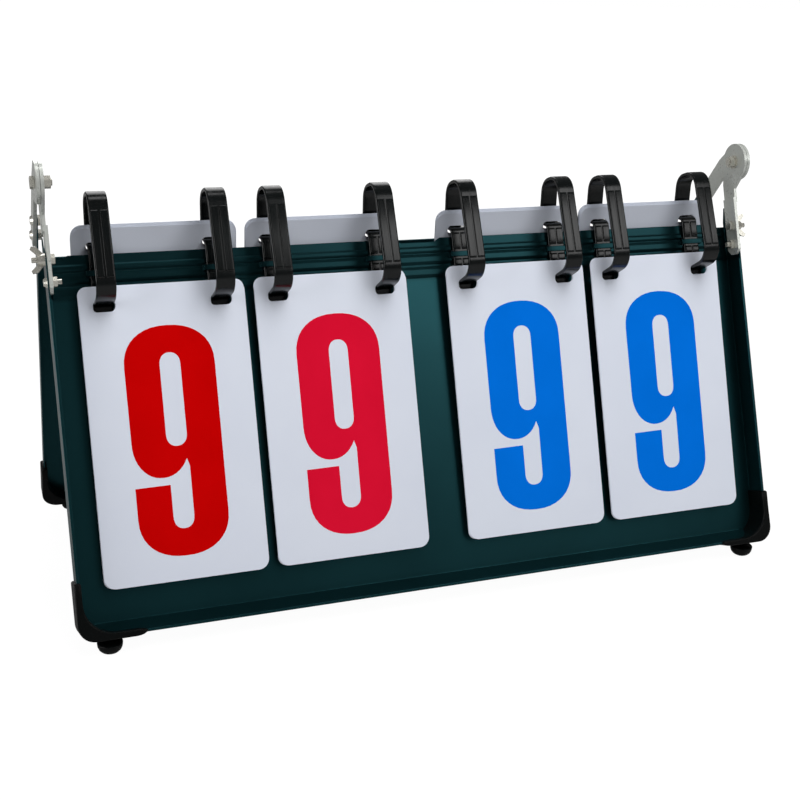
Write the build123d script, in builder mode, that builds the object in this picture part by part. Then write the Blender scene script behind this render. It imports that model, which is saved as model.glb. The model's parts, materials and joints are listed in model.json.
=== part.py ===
from build123d import *
from math import acos, atan2, cos, hypot, pi, radians, sin, tan
import os

os.makedirs("parts", exist_ok=True)

# ---- Overall sizes, mm and degrees ---------------------------------------------
BOARD_W = 568.0          # width of the front board over its side rims
BOARD_TOP = 282.0        # top edge of the board over the cards, measured up the board
BOARD_FOOT = 12.0        # lower edge of the board's rim, measured up the board
FRONT_LEAN = 23.0        # lean of the front board from upright
REAR_LEAN = 17.3         # lean of the rear board from upright
SHEET = 1.0              # sheet steel
GAP = 0.15               # assembly clearance between seated pieces

# ---- Front board -----------------------------------------------------------------
FACE = -6.0              # front face of the sheet, behind the cards' plane
RIM_FRONT = 12.8         # front edge of the rim, in front of the cards' plane
RIM_DRAFT = 7.0          # how far the bottom rim rises from its front edge to the sheet
CORNER_R = 25.0
RIM_LIP = 2.0
TOP_DIP = 3.0            # the top edge is lower between the card pairs and at the ends
BEAD_RISE = 1.1
BEADS = [
    (BOARD_TOP - 11.7, BOARD_TOP - 6.5),
    (BOARD_TOP - 20.7, BOARD_TOP - 12.5),
    (BOARD_TOP - 31.0, BOARD_TOP - 22.3),
]
EAR_RISE = 14.0          # pointed ear at each top corner of the board

# ---- Cards -------------------------------------------------------------------------
CARD_W = 120.0
CARD_H = 214.5
CARD_T = 0.45
CARD_R = 8.0
CARD_DROP = 24.6         # top edge of the board over the cards to the shown cards' top
CARD_FOOT = BOARD_TOP - CARD_DROP - CARD_H
CARD_TILT = 1.1          # the shown cards lean this much less than the board
CARD_GAP = 7.4           # between the two cards of a pair
PAIR_GAP = 33.7          # between the two pairs
SET_SHIFT = 0.4          # the card sets hang a little right of the board's middle
SLOT_DROP = 10.0         # card top edge to slot top
SLOT_CROP = 0.9          # cropped corners of the slots
BACKING_RISE = 0.4       # the card behind stands this much higher
BACKING_SHIFT = -0.3
FLIPPED_COUNT = 9
FLIPPED_T = 0.4
FLIPPED_RISE = [0.0, 0.9, 1.9]      # each third of the flipped cards, front to back
FLIPPED_SHIFT = [-0.3, 0.3, 0.0]

# ---- Rings ---------------------------------------------------------------------------
RING_W = 14.0
RING_T = 2.8
SLOT_W = RING_W + 1.8
SLOT_H = RING_T * 3
RING_INSET = 17.8        # ring centre to the card's side edge
RING_PATH = [
    (-3.9, BOARD_TOP - 38.1),
    (-3.9, BOARD_TOP + 5.3),
    (-15.2, BOARD_TOP + 10.1),
    (-3.6, BOARD_TOP + 41.0),
    (20.4, BOARD_TOP + 41.0),
    (26.6, BOARD_TOP - 32.4),
]
RING_RADII = [4.0, 2.6, 4.0, 12.0, 12.5, 13.0]
RING_STEPS = [2, 1, 2, 4, 4, 4]
RING_TAIL = BOARD_TOP - 44.0        # lower end of the inner leg
RIB_W = 5.4
RIB_GAP = 1.2
RIB_T = 0.9

# ---- Arms and pivot ------------------------------------------------------------------
PIVOT_S = BOARD_TOP + 48.0          # pivot, measured up the front board
PIVOT_OFF = 19.0         # pivot, in front of the cards' plane
ARM_T = 2.5
ARM_HEAD_R = 15.0
ARM_W = 14.7
ARM_FRONT_EDGE = -3.8    # front edge of the stem, behind the pivot
ARM_LENGTH = 76.5        # pivot to the stem's lower end
ARM_HOLES = [-52.0, -68.0]
ARM_STEP = 1.2           # the front arm steps outwards above the board
REAR_ARM_TURN = 18.2     # slant of the rear arm against the rear board
ARM_PLAY = 0.3           # between the two arms' heads
SIDES = 12               # sides of the small fasteners' shanks and bores
M4_R = 2.0
M5_R = 2.5
PIVOT_FIT = 0.05         # radial running clearance on the pivot bolt
BOLT_FIT = 0.15

# ---- Rear board -----------------------------------------------------------------------
REAR_DISTANCE = 34.5     # pivot to the rear board's outer face, square to it
REAR_RIM = 9.0           # depth of the rear board's inward rim
REAR_TOP = BOARD_TOP - 28.0

# ---- Feet ------------------------------------------------------------------------------
FOOT_SIDE = 52.0         # height of a foot's upright leg, measured up the board
FOOT_BASE = 46.0         # length of a foot's bottom leg
FOOT_WALL = 2.0
FOOT_INNER = 2.8         # the foot's inner wall reaches this far into the board
FOOT_CORNER = 12.0
FOOT_KNOB_R = 9.2
REAR_KNOB_R = 6.2
FOOT_KNOB_CROP = 2.6     # height of the tapered lower end of a knob
FOOT_KNOB_X = 20.0

# ---- Derived -----------------------------------------------------------------------------
HALF_W = BOARD_W / 2
S1 = sin(radians(FRONT_LEAN))
C1 = cos(radians(FRONT_LEAN))
S2 = sin(radians(REAR_LEAN))
C2 = cos(radians(REAR_LEAN))
LEFT_RIGHT = {"left": -1, "right": 1}
ARM_CENTRE = ARM_FRONT_EDGE - ARM_W / 2
FRONT_ARM_OUT = HALF_W - SHEET
REAR_ARM_IN = FRONT_ARM_OUT + ARM_STEP + ARM_PLAY
REAR_HALF = REAR_ARM_IN
CARD_CENTRES = [
    SET_SHIFT - PAIR_GAP / 2 - CARD_W * 1.5 - CARD_GAP,
    SET_SHIFT - PAIR_GAP / 2 - CARD_W / 2,
    SET_SHIFT + PAIR_GAP / 2 + CARD_W / 2,
    SET_SHIFT + PAIR_GAP / 2 + CARD_W * 1.5 + CARD_GAP,
]
RING_XS = [c + k * (CARD_W / 2 - RING_INSET) for c in CARD_CENTRES for k in (-1, 1)]

# pivot and rear board, before the whole is centred on the table
pivot_y0 = PIVOT_S * S1 - PIVOT_OFF * C1
PIVOT_Z = PIVOT_S * C1 + PIVOT_OFF * S1
rear_y0 = pivot_y0 + (REAR_DISTANCE + PIVOT_Z * S2) / C2
BACK = FACE - SHEET
foot_low = BOARD_FOOT - FOOT_WALL
front_knob_y0 = foot_low * S1 - (RIM_FRONT + BACK) / 2 * C1
rear_knob_y0 = rear_y0 - foot_low * S2 - REAR_RIM / 2 * C2
front_reach = min(foot_low * S1 - (RIM_FRONT + FOOT_WALL) * C1, front_knob_y0 - FOOT_KNOB_R)
rear_reach = max(rear_y0 - foot_low * S2 + FOOT_WALL * C2, rear_knob_y0 + REAR_KNOB_R)
FRONT_Y = -(front_reach + rear_reach) / 2
PIVOT_Y = FRONT_Y + pivot_y0
REAR_Y = FRONT_Y + rear_y0

FRONT_N = (0, -C1, S1)
REAR_N = (0, C2, S2)
CARD_LEAN = radians(FRONT_LEAN - CARD_TILT)
CARD_N = (0, -cos(CARD_LEAN), sin(CARD_LEAN))


def front_point(x, s, off):
    return (x, FRONT_Y + s * S1 - off * C1, s * C1 + off * S1)


def rear_point(x, s, off):
    return (x, REAR_Y - s * S2 + off * C2, s * C2 + off * S2)


def front_face(off):
    return Plane(origin=front_point(0, 0, off), x_dir=(1, 0, 0), z_dir=FRONT_N)


def front_side(x):
    return Plane(origin=front_point(x, 0, 0), x_dir=FRONT_N, z_dir=(-1, 0, 0))


def rear_face(off):
    return Plane(origin=rear_point(0, 0, off), x_dir=(-1, 0, 0), z_dir=REAR_N)


def rear_side(x):
    return Plane(origin=rear_point(x, 0, 0), x_dir=REAR_N, z_dir=(1, 0, 0))


def card_face(off):
    """Plane of the shown cards, with Y up the card from its lower edge."""
    x, y, z = front_point(0, CARD_FOOT, 0)
    return Plane(origin=(x, y + off * CARD_N[1], z + off * CARD_N[2]), x_dir=(1, 0, 0), z_dir=CARD_N)


def arm_plane(x, slant):
    a = radians(slant)
    return Plane(origin=(x, PIVOT_Y, PIVOT_Z), x_dir=(0, -cos(a), -sin(a)), z_dir=(-1, 0, 0))


def cut_bolt_holes(plane):
    """The two bolt holes at an arm's lower end, through what lies near the plane."""
    with BuildSketch(plane) as holes:
        for y in ARM_HOLES:
            with Locations((ARM_CENTRE, y)):
                RegularPolygon(M4_R + BOLT_FIT, SIDES)
    extrude(holes.sketch, amount=4, both=True, mode=Mode.SUBTRACT)


def soft_corner(before, here, after, r, steps):
    """Points that round the corner at here in equal straight steps."""
    a = atan2(before[1] - here[1], before[0] - here[0])
    b = atan2(after[1] - here[1], after[0] - here[0])
    opening = (b - a + pi) % (2 * pi) - pi
    reach = r / sin(abs(opening) / 2)
    run = r / tan(abs(opening) / 2)
    cx = here[0] + reach * cos(a + opening / 2)
    cy = here[1] + reach * sin(a + opening / 2)
    first = atan2(here[1] + run * sin(a) - cy, here[0] + run * cos(a) - cx)
    last = atan2(here[1] + run * sin(b) - cy, here[0] + run * cos(b) - cx)
    sweep = (last - first + pi) % (2 * pi) - pi
    angles = [first + sweep * k / steps for k in range(steps + 1)]
    return [(cx + r * cos(t), cy + r * sin(t)) for t in angles]


def soft_outline(points, radii, steps):
    """Points of a closed outline with its corners rounded in straight steps."""
    result = []
    for k, here in enumerate(points):
        after = points[(k + 1) % len(points)]
        result += soft_corner(points[k - 1], here, after, radii[k], steps[k])
    return result


def soft_box(x, y, wide, high, r, steps):
    """Points of a rectangle about (x, y) with its corners rounded in straight steps."""
    signs = ((-1, -1), (1, -1), (1, 1), (-1, 1))
    corners = [(x + i * wide / 2, y + j * high / 2) for i, j in signs]
    return soft_outline(corners, [r] * 4, [steps] * 4)


FRONT_ARM_SLANT = -FRONT_LEAN
REAR_ARM_SLANT = REAR_LEAN + REAR_ARM_TURN


def save(part, name):
    part.label = name
    export_step(part, "parts/" + name + ".step")


# ---- Front board ---------------------------------------------------------------------------
def board_sketch(inset, top):
    half = HALF_W - inset
    low = BOARD_FOOT + inset
    with BuildSketch() as outline:
        with BuildLine():
            Polyline((-half, low), (half, low), (half, top), (-half, top), close=True)
        make_face()
        fillet(outline.vertices().group_by(Axis.Y)[0], CORNER_R - inset)
    return outline.sketch


def bottom_wedge(raise_by):
    """The space under the slanted bottom rim."""
    low = BOARD_FOOT + raise_by
    with BuildPart() as wedge:
        with BuildSketch(front_side(0)):
            Polygon(
                (RIM_FRONT + 20, low),
                (RIM_FRONT, low),
                (FACE - SHEET, low + RIM_DRAFT),
                (FACE - SHEET - 20, low + RIM_DRAFT),
                (FACE - SHEET - 20, low - 60),
                (RIM_FRONT + 20, low - 60),
                align=None,
            )
        extrude(amount=BOARD_W, both=True)
    return wedge.part


top_low = BOARD_TOP - TOP_DIP
pair_edge = PAIR_GAP / 2 + 2 * CARD_W + CARD_GAP + 3
top_points = [(-HALF_W, top_low)]
for lo, hi in ((-pair_edge, -PAIR_GAP / 2 - 2), (PAIR_GAP / 2 + 2, pair_edge)):
    top_points += [(lo - 5, top_low), (lo, BOARD_TOP), (hi, BOARD_TOP), (hi + 5, top_low)]
bead_end = HALF_W - 4
bead_low = BEADS[-1][0]
bead_high = BEADS[0][1]
strap_s = (BEADS[0][0] + BEADS[1][0]) / 2 + 2.2
top_points += [(HALF_W, top_low)]

with BuildPart() as tray_hollow:
    with BuildSketch(front_face(FACE)):
        add(board_sketch(SHEET, BOARD_TOP + 20))
    extrude(amount=RIM_FRONT - FACE + 5)
    add(bottom_wedge(SHEET), mode=Mode.SUBTRACT)

with BuildPart() as front_board:
    with BuildSketch(front_face(BACK)):
        add(board_sketch(0, top_low))
    extrude(amount=RIM_FRONT - BACK)
    add(bottom_wedge(0), mode=Mode.SUBTRACT)
    add(tray_hollow.part, mode=Mode.SUBTRACT)
    # raised top edge over the card pairs
    with BuildSketch(front_face(BACK)):
        with BuildLine():
            Polyline(*top_points, (HALF_W, top_low - 5), (-HALF_W, top_low - 5), close=True)
        make_face()
    extrude(amount=SHEET)
    # lip along the rim's front edge, stopping below the arms
    lip_top = PIVOT_S - ARM_LENGTH - 4
    with BuildSketch(front_face(RIM_FRONT - SHEET)) as lip:
        add(board_sketch(0.5, lip_top))
        add(board_sketch(RIM_LIP, lip_top + 5), mode=Mode.SUBTRACT)
    extrude(amount=SHEET)
    # rounded beads across the sheet below the top edge
    for low, high in BEADS:
        swell = (high - low) * 0.28
        with BuildSketch(front_side(0)):
            Polygon(
                (FACE - 0.2, low),
                (FACE + BEAD_RISE * 0.4, low + 0.3),
                (FACE + BEAD_RISE, low + swell),
                (FACE + BEAD_RISE, high - swell),
                (FACE + BEAD_RISE * 0.4, high - 0.3),
                (FACE - 0.2, high),
                align=None,
            )
        extrude(amount=bead_end, both=True)
    # the beads are pressed flat again behind each ring
    for x in RING_XS:
        with BuildSketch(front_face(FACE)):
            with Locations((x, (bead_low + bead_high) / 2)):
                Rectangle(RING_W + 1.0, bead_high - bead_low + 2)
        extrude(amount=BEAD_RISE + 1, mode=Mode.SUBTRACT)
    # ears at the top corners
    for side in (-1, 1):
        with BuildSketch(front_side(side * (HALF_W - SHEET / 2))):
            with BuildLine():
                Polyline(
                    (BACK, top_low - 2),
                    (BACK, top_low + 4),
                    (FACE + 1.5, top_low + EAR_RISE + 2),
                    (FACE + 4, top_low + EAR_RISE - 4),
                    (RIM_FRONT - 3, top_low),
                    (RIM_FRONT - 3, top_low - 2),
                    close=True,
                )
            make_face()
        extrude(amount=SHEET / 2, both=True)
    # straps that hold the rings, each over a slot in the sheet
    for x in RING_XS:
        with BuildSketch(front_face(BACK - 1)):
            with Locations((x, strap_s)):
                Rectangle(RING_W, 7)
        extrude(amount=BEAD_RISE + SHEET + 2, mode=Mode.SUBTRACT)
        with BuildSketch(front_face(FACE - 0.3)):
            with Locations((x, strap_s)):
                Rectangle(RING_W + 5, 4)
                Rectangle(RING_W + 2 * GAP, 6, mode=Mode.SUBTRACT)
        extrude(amount=0.3 + 4.8)
        with BuildSketch(front_face(FACE + 3.7)):
            with Locations((x, strap_s)):
                Rectangle(RING_W + 5, 4)
        extrude(amount=1.1)
    # bolt holes through the side rims
    for side in (-1, 1):
        cut_bolt_holes(arm_plane(side * HALF_W, FRONT_ARM_SLANT))
save(front_board.part, "front_board")


# ---- Rear board -----------------------------------------------------------------------------
def rear_sketch(inset, top):
    half = REAR_HALF - inset
    low = BOARD_FOOT + inset
    with BuildSketch() as outline:
        with BuildLine():
            Polyline((-half, low), (half, low), (half, top), (-half, top), close=True)
        make_face()
        fillet(outline.vertices().group_by(Axis.Y)[0], CORNER_R - inset)
    return outline.sketch


def rear_arm_spot(y):
    """A rear arm bolt hole in the rear board's own off and up directions."""
    d = radians(REAR_ARM_TURN)
    pivot_up = (rear_y0 - pivot_y0) * S2 + PIVOT_Z * C2
    off = -REAR_DISTANCE - ARM_CENTRE * cos(d) - y * sin(d)
    up = pivot_up - ARM_CENTRE * sin(d) + y * cos(d)
    return off, up


upper_spot = rear_arm_spot(ARM_HOLES[0])
lower_spot = rear_arm_spot(ARM_HOLES[1])

with BuildPart() as rear_board:
    with BuildSketch(rear_face(-REAR_RIM)):
        add(rear_sketch(0, REAR_TOP))
    extrude(amount=REAR_RIM)
    with BuildSketch(rear_face(-REAR_RIM - 1)):
        add(rear_sketch(SHEET, REAR_TOP + 20))
    extrude(amount=REAR_RIM + 1 - SHEET, mode=Mode.SUBTRACT)
    # stiffening bead along the top of the rear sheet
    with BuildSketch(rear_face(-SHEET - BEAD_RISE)):
        with Locations((0, REAR_TOP - 12)):
            Rectangle(BOARD_W - 20, 8)
    extrude(amount=BEAD_RISE + 0.2)
    # ears that carry the rear arms
    for side in (-1, 1):
        with BuildSketch(rear_side(side * (REAR_HALF - SHEET / 2))):
            with BuildLine():
                Polyline(
                    (-REAR_RIM, REAR_TOP - 30),
                    (upper_spot[0] - 5.5, upper_spot[1] - 8),
                    (upper_spot[0] - 5.5, upper_spot[1] + 4),
                    (upper_spot[0] - 2, upper_spot[1] + 6),
                    (upper_spot[0] + 4, upper_spot[1] + 6),
                    (lower_spot[0] + 6, lower_spot[1] + 2),
                    (lower_spot[0] + 6, lower_spot[1] - 6),
                    (0, REAR_TOP - 8),
                    (0, REAR_TOP - 30),
                    close=True,
                )
            make_face()
        extrude(amount=SHEET / 2, both=True)
        cut_bolt_holes(arm_plane(side * REAR_HALF, REAR_ARM_SLANT))
save(rear_board.part, "rear_board")


# ---- Rings --------------------------------------------------------------------------------------
def leg_rib(low, high, side):
    """Rib on the outside of the leg that runs from low to high, both (off, up)."""
    dx = high[0] - low[0]
    dy = high[1] - low[1]
    length = hypot(dx, dy)
    ux = dx / length
    uy = dy / length
    nx = uy * side
    ny = -ux * side
    start = RING_T / 2 - 0.3
    end = RING_T / 2 + RIB_T
    return [
        (low[0] + nx * start, low[1] + ny * start),
        (low[0] + nx * end, low[1] + ny * end),
        (high[0] + nx * end, high[1] + ny * end),
        (high[0] + nx * start, high[1] + ny * start),
    ]


def point_on(a, b, up):
    t = (up - a[1]) / (b[1] - a[1])
    return (a[0] + (b[0] - a[0]) * t, up)


with BuildSketch() as loop_centre:
    Polygon(*soft_outline(RING_PATH, RING_RADII, RING_STEPS), align=None)
leg_back = RING_PATH[0][0] - RING_T / 2
leg_front = RING_PATH[0][0] + RING_T / 2
tail = [
    (leg_back, RING_PATH[0][1] + 4),
    (leg_back, RING_TAIL + 0.8),
    (leg_back + 0.8, RING_TAIL),
    (leg_front - 0.8, RING_TAIL),
    (leg_front, RING_TAIL + 0.8),
    (leg_front, RING_PATH[0][1] + 4),
]
front_leg = (RING_PATH[5], RING_PATH[4])
inner_leg = (RING_PATH[0], RING_PATH[1])
front_ribs = (RING_PATH[5][1] + 12.4, RING_PATH[4][1] - 17.0)
upper_ribs = (RING_PATH[1][1] - 15.8, RING_PATH[1][1] - 2.3)
lower_ribs = (RING_PATH[1][1] - 29.1, RING_PATH[1][1] - 22.8)
rib_legs = [
    (point_on(*front_leg, front_ribs[0]), point_on(*front_leg, front_ribs[1]), 1),
    (point_on(*inner_leg, upper_ribs[0]), point_on(*inner_leg, upper_ribs[1]), 1),
    (point_on(*inner_leg, lower_ribs[0]), point_on(*inner_leg, lower_ribs[1]), 1),
]
for number, ring_x in enumerate(RING_XS, start=1):
    with BuildPart() as ring:
        with BuildSketch(front_side(ring_x)) as band:
            offset(loop_centre.sketch, RING_T / 2, kind=Kind.INTERSECTION)
            offset(loop_centre.sketch, -RING_T / 2, kind=Kind.INTERSECTION, mode=Mode.SUBTRACT)
            Polygon(*tail, align=None)
        extrude(amount=RING_W / 2, both=True)
        for shift in (-1, 1):
            centre = ring_x + shift * (RIB_W + RIB_GAP) / 2
            for low, high, out in rib_legs:
                with BuildSketch(front_side(centre)):
                    Polygon(*leg_rib(low, high, out), align=None)
                extrude(amount=RIB_W / 2, both=True)
    save(ring.part, "ring_" + str(number))


# ---- Cards ----------------------------------------------------------------------------------------
def card_sketch(centre_x, top, rise, shift, steps):
    """A card outline; rise and shift move it against its two ring slots."""
    slot_up = top - SLOT_DROP - SLOT_H / 2
    with BuildSketch() as card:
        outline = soft_box(centre_x + shift, top + rise - CARD_H / 2, CARD_W, CARD_H, CARD_R, steps)
        Polygon(*outline, align=None)
        for k in (-1, 1):
            slot_x = centre_x + k * (CARD_W / 2 - RING_INSET)
            slot = soft_box(slot_x, slot_up, SLOT_W, SLOT_H, SLOT_CROP, 1)
            Polygon(*slot, align=None, mode=Mode.SUBTRACT)
    return card.sketch


for number, card_x in enumerate(CARD_CENTRES, start=1):
    with BuildPart() as shown_card:
        with BuildSketch(card_face(0)):
            add(card_sketch(card_x, CARD_H, 0, 0, 6))
        extrude(amount=CARD_T)
    save(shown_card.part, "number_card_" + str(number))
    with BuildPart() as backing_card:
        with BuildSketch(card_face(-0.05 - CARD_T)):
            add(card_sketch(card_x, CARD_H, BACKING_RISE, BACKING_SHIFT, 3))
        extrude(amount=CARD_T)
    save(backing_card.part, "backing_card_" + str(number))

# flipped cards hang upright from the back of the rings, between the two boards
run_low = RING_PATH[1]
HANG_Z = run_low[1] * C1 + run_low[0] * S1
run_mid = (RING_PATH[1][0] + RING_PATH[2][0]) / 2
HANG_Y = front_point(0, (RING_PATH[1][1] + RING_PATH[2][1]) / 2, run_mid)[1] - 1.0
STACK_TOP = HANG_Z + RING_T / 2 + 1.0 + SLOT_DROP
stack_depth = FLIPPED_COUNT * FLIPPED_T
third = stack_depth / len(FLIPPED_RISE)
for number, card_x in enumerate(CARD_CENTRES, start=1):
    with BuildPart() as stack:
        for k, (rise, shift) in enumerate(zip(FLIPPED_RISE, FLIPPED_SHIFT)):
            y = HANG_Y - stack_depth / 2 + k * third
            plane = Plane(origin=(0, y, 0), x_dir=(1, 0, 0), z_dir=(0, -1, 0))
            with BuildSketch(plane):
                add(card_sketch(card_x, STACK_TOP, rise, shift, 2))
            extrude(amount=-third)
    save(stack.part, "flipped_cards_" + str(number))


# ---- Arms -------------------------------------------------------------------------------------------
def tangent_point(px, py, r, turn):
    """Where a line from (px, py) touches the circle of radius r about the pivot."""
    d = hypot(px, py)
    base = atan2(py, px)
    swing = acos(r / d) * turn
    return (r * cos(base + swing), r * sin(base + swing))


def arm_sketch(low):
    """Arm outline down to the height low, with the pivot at the origin."""
    rear_edge = ARM_FRONT_EDGE - ARM_W
    front_neck = (ARM_FRONT_EDGE, -ARM_HEAD_R * 1.45)
    rear_neck = (rear_edge, -ARM_HEAD_R * 1.1)
    with BuildSketch() as outline:
        Circle(ARM_HEAD_R)
        with BuildLine():
            Polyline(
                tangent_point(*front_neck, ARM_HEAD_R, 1),
                tangent_point(*rear_neck, ARM_HEAD_R, -1),
                rear_neck,
                (rear_edge, low),
                (ARM_FRONT_EDGE, low),
                front_neck,
                close=True,
            )
        make_face()
    return outline.sketch


step_at = -PIVOT_S + BOARD_TOP + 15
for name, side in LEFT_RIGHT.items():
    inner = side * (FRONT_ARM_OUT - ARM_T / 2)
    head = side * (FRONT_ARM_OUT - ARM_T / 2 + ARM_STEP)
    with BuildPart() as front_arm:
        with BuildSketch(arm_plane(head, FRONT_ARM_SLANT)):
            add(arm_sketch(step_at))
        extrude(amount=ARM_T / 2, both=True)
        with BuildSketch(arm_plane(inner, FRONT_ARM_SLANT)):
            with BuildLine():
                Polyline(
                    (ARM_FRONT_EDGE - ARM_W, step_at + 4),
                    (ARM_FRONT_EDGE - ARM_W, -ARM_LENGTH + 4),
                    (ARM_FRONT_EDGE - ARM_W + 4, -ARM_LENGTH),
                    (ARM_FRONT_EDGE - 4, -ARM_LENGTH),
                    (ARM_FRONT_EDGE, -ARM_LENGTH + 4),
                    (ARM_FRONT_EDGE, step_at + 4),
                    close=True,
                )
            make_face()
        extrude(amount=ARM_T / 2, both=True)
        cut_bolt_holes(arm_plane(inner, FRONT_ARM_SLANT))
        with BuildSketch(arm_plane(head, FRONT_ARM_SLANT)):
            RegularPolygon(M5_R + BOLT_FIT, SIDES, major_radius=False)
        extrude(amount=4, both=True, mode=Mode.SUBTRACT)
    save(front_arm.part, "front_arm_" + name)

    outer = side * (REAR_ARM_IN + ARM_T / 2)
    with BuildPart() as rear_arm:
        with BuildSketch(arm_plane(outer, REAR_ARM_SLANT)) as rear_outline:
            add(arm_sketch(-ARM_LENGTH))
            chamfer(rear_outline.vertices().group_by(Axis.Y)[0], 4)
        extrude(amount=ARM_T / 2, both=True)
        cut_bolt_holes(arm_plane(outer, REAR_ARM_SLANT))
        with Locations(arm_plane(outer, REAR_ARM_SLANT).location):
            Cylinder(M5_R + PIVOT_FIT, 8, mode=Mode.SUBTRACT)
    save(rear_arm.part, "rear_arm_" + name)


# ---- Fasteners ------------------------------------------------------------------------------------------
def on_axis(plane, x, y, at):
    """A location on a bolt axis; at is the distance out from the board's middle."""
    side = 1 if plane.origin.X > 0 else -1
    spot = plane.location * Location((x, y, 0))
    p = spot.position
    return Location((side * at, p.Y, p.Z)) * Location((0, 0, 0), (0, 90 * side, 0))


def shank(place, radius, length, mode=Mode.ADD):
    """Straight many-sided shank from place outwards."""
    with BuildSketch(Plane(place)) as outline:
        RegularPolygon(radius, SIDES)
    extrude(outline.sketch, amount=length, mode=mode)


def stud(place, low_r, high_r, length):
    """Tapered many-sided head from place outwards."""
    base = Plane(place)
    with BuildSketch(base) as low:
        RegularPolygon(low_r, SIDES)
    with BuildSketch(base.offset(length)) as high:
        RegularPolygon(high_r, SIDES)
    loft([low.sketch, high.sketch])


def hexagon(place, across, height, bore):
    """Hexagonal nut or head from place outwards."""
    with BuildSketch(Plane(place)) as outline:
        RegularPolygon(across / 2, 6, major_radius=False)
        if bore:
            RegularPolygon(bore, SIDES, major_radius=False, mode=Mode.SUBTRACT)
    extrude(outline.sketch, amount=height)


inner_face = FRONT_ARM_OUT - ARM_T
sides = (-1, 1)
front_spots = [arm_plane(side * HALF_W, FRONT_ARM_SLANT) for side in sides]
rear_spots = [arm_plane(side * REAR_HALF, REAR_ARM_SLANT) for side in sides]

with BuildPart() as clamp_bolts:
    for plane in front_spots:
        hexagon(on_axis(plane, ARM_CENTRE, ARM_HOLES[0], inner_face - 3.2), 7.0, 3.2, 0)
        shank(on_axis(plane, ARM_CENTRE, ARM_HOLES[0], inner_face - 0.5), M4_R, ARM_T + SHEET + 9.5)
save(clamp_bolts.part, "clamp_bolts")

with BuildPart() as wing_nuts:
    for plane in front_spots:
        side = 1 if plane.origin.X > 0 else -1
        base = on_axis(plane, ARM_CENTRE, ARM_HOLES[0], HALF_W)
        stud(base, 4.6, 3.6, 5.0)
        for wing in (-1, 1):
            with BuildSketch(Plane(base.position, x_dir=(side, 0, 0), z_dir=FRONT_N)):
                Polygon((1.0, wing * 2.6), (4.6, wing * 2.6), (9.6, wing * 7.6), (8.6, wing * 9.6),
                        (5.2, wing * 9.0), (1.0, wing * 4.3), align=None)
            extrude(amount=1.0, both=True)
        shank(base, M4_R + 0.02, 20, mode=Mode.SUBTRACT)
save(wing_nuts.part, "wing_nuts")

with BuildPart() as lower_bolts:
    for plane in front_spots:
        stud(on_axis(plane, ARM_CENTRE, ARM_HOLES[1], HALF_W), 4.0, 2.6, 2.4)
        shank(on_axis(plane, ARM_CENTRE, ARM_HOLES[1], inner_face - 6.5), M4_R, 6.5 + ARM_T + SHEET + 0.5)
save(lower_bolts.part, "lower_bolts")

with BuildPart() as lower_nuts:
    for plane in front_spots:
        hexagon(on_axis(plane, ARM_CENTRE, ARM_HOLES[1], inner_face - 3.4), 7.0, 3.4, M4_R + 0.02)
save(lower_nuts.part, "lower_nuts")

with BuildPart() as rear_bolts:
    for plane in rear_spots:
        for y in ARM_HOLES:
            stud(on_axis(plane, ARM_CENTRE, y, REAR_ARM_IN + ARM_T), 4.0, 2.8, 1.6)
            shank(on_axis(plane, ARM_CENTRE, y, REAR_HALF - SHEET - 5.0), M4_R, 5.0 + SHEET + ARM_T + 0.5)
save(rear_bolts.part, "rear_bolts")

with BuildPart() as rear_nuts:
    for plane in rear_spots:
        for y in ARM_HOLES:
            hexagon(on_axis(plane, ARM_CENTRE, y, REAR_HALF - SHEET - 3.2), 7.0, 3.2, M4_R + 0.02)
save(rear_nuts.part, "rear_nuts")

head_inner = FRONT_ARM_OUT + ARM_STEP - ARM_T
head_outer = REAR_ARM_IN + ARM_T + ARM_PLAY
for (name, side), plane in zip(LEFT_RIGHT.items(), front_spots):
    with BuildPart() as pivot_bolt:
        hexagon(on_axis(plane, 0, 0, head_outer), 8.0, 3.0, 0)
        with Locations(on_axis(plane, 0, 0, head_inner - 6.5)):
            Cylinder(M5_R, head_outer - head_inner + 7.0, align=(Align.CENTER, Align.CENTER, Align.MIN))
    save(pivot_bolt.part, "pivot_bolt_" + name)
    with BuildPart() as pivot_washer:
        with BuildSketch(Plane(on_axis(plane, 0, 0, head_inner - 1.0))):
            RegularPolygon(5.5, 20)
            RegularPolygon(M5_R + BOLT_FIT, SIDES, major_radius=False, mode=Mode.SUBTRACT)
        extrude(amount=1.0)
    save(pivot_washer.part, "pivot_washer_" + name)
    with BuildPart() as pivot_nut:
        hexagon(on_axis(plane, 0, 0, head_inner - 5.4), 8.0, 4.4, M5_R + 0.02)
    save(pivot_nut.part, "pivot_nut_" + name)


# ---- Feet --------------------------------------------------------------------------------------------------
def foot_block(half, side):
    """Outline of a foot about one bottom corner, in the board's face."""
    wide = FOOT_BASE + FOOT_WALL
    high = FOOT_SIDE - foot_low
    with BuildSketch() as block:
        with Locations((side * (half - FOOT_BASE + wide / 2), foot_low + high / 2)):
            Rectangle(wide, high)
        corner = block.vertices().sort_by_distance((side * (half + FOOT_WALL), foot_low, 0))[0]
        fillet(corner, FOOT_CORNER)
    return block.sketch


def foot_knob(x, y, radius, top):
    """Round support that stands on the table under a foot."""
    levels = [(0, radius * 0.72), (FOOT_KNOB_CROP, radius), (top, radius)]
    with BuildPart() as knob:
        for (z1, r1), (z2, r2) in zip(levels, levels[1:]):
            with BuildSketch(Plane(origin=(x, y, z1))) as low:
                RegularPolygon(r1, 16)
            with BuildSketch(Plane(origin=(x, y, z2))) as high:
                RegularPolygon(r2, 16)
            loft([low.sketch, high.sketch])
    return knob.part


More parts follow.
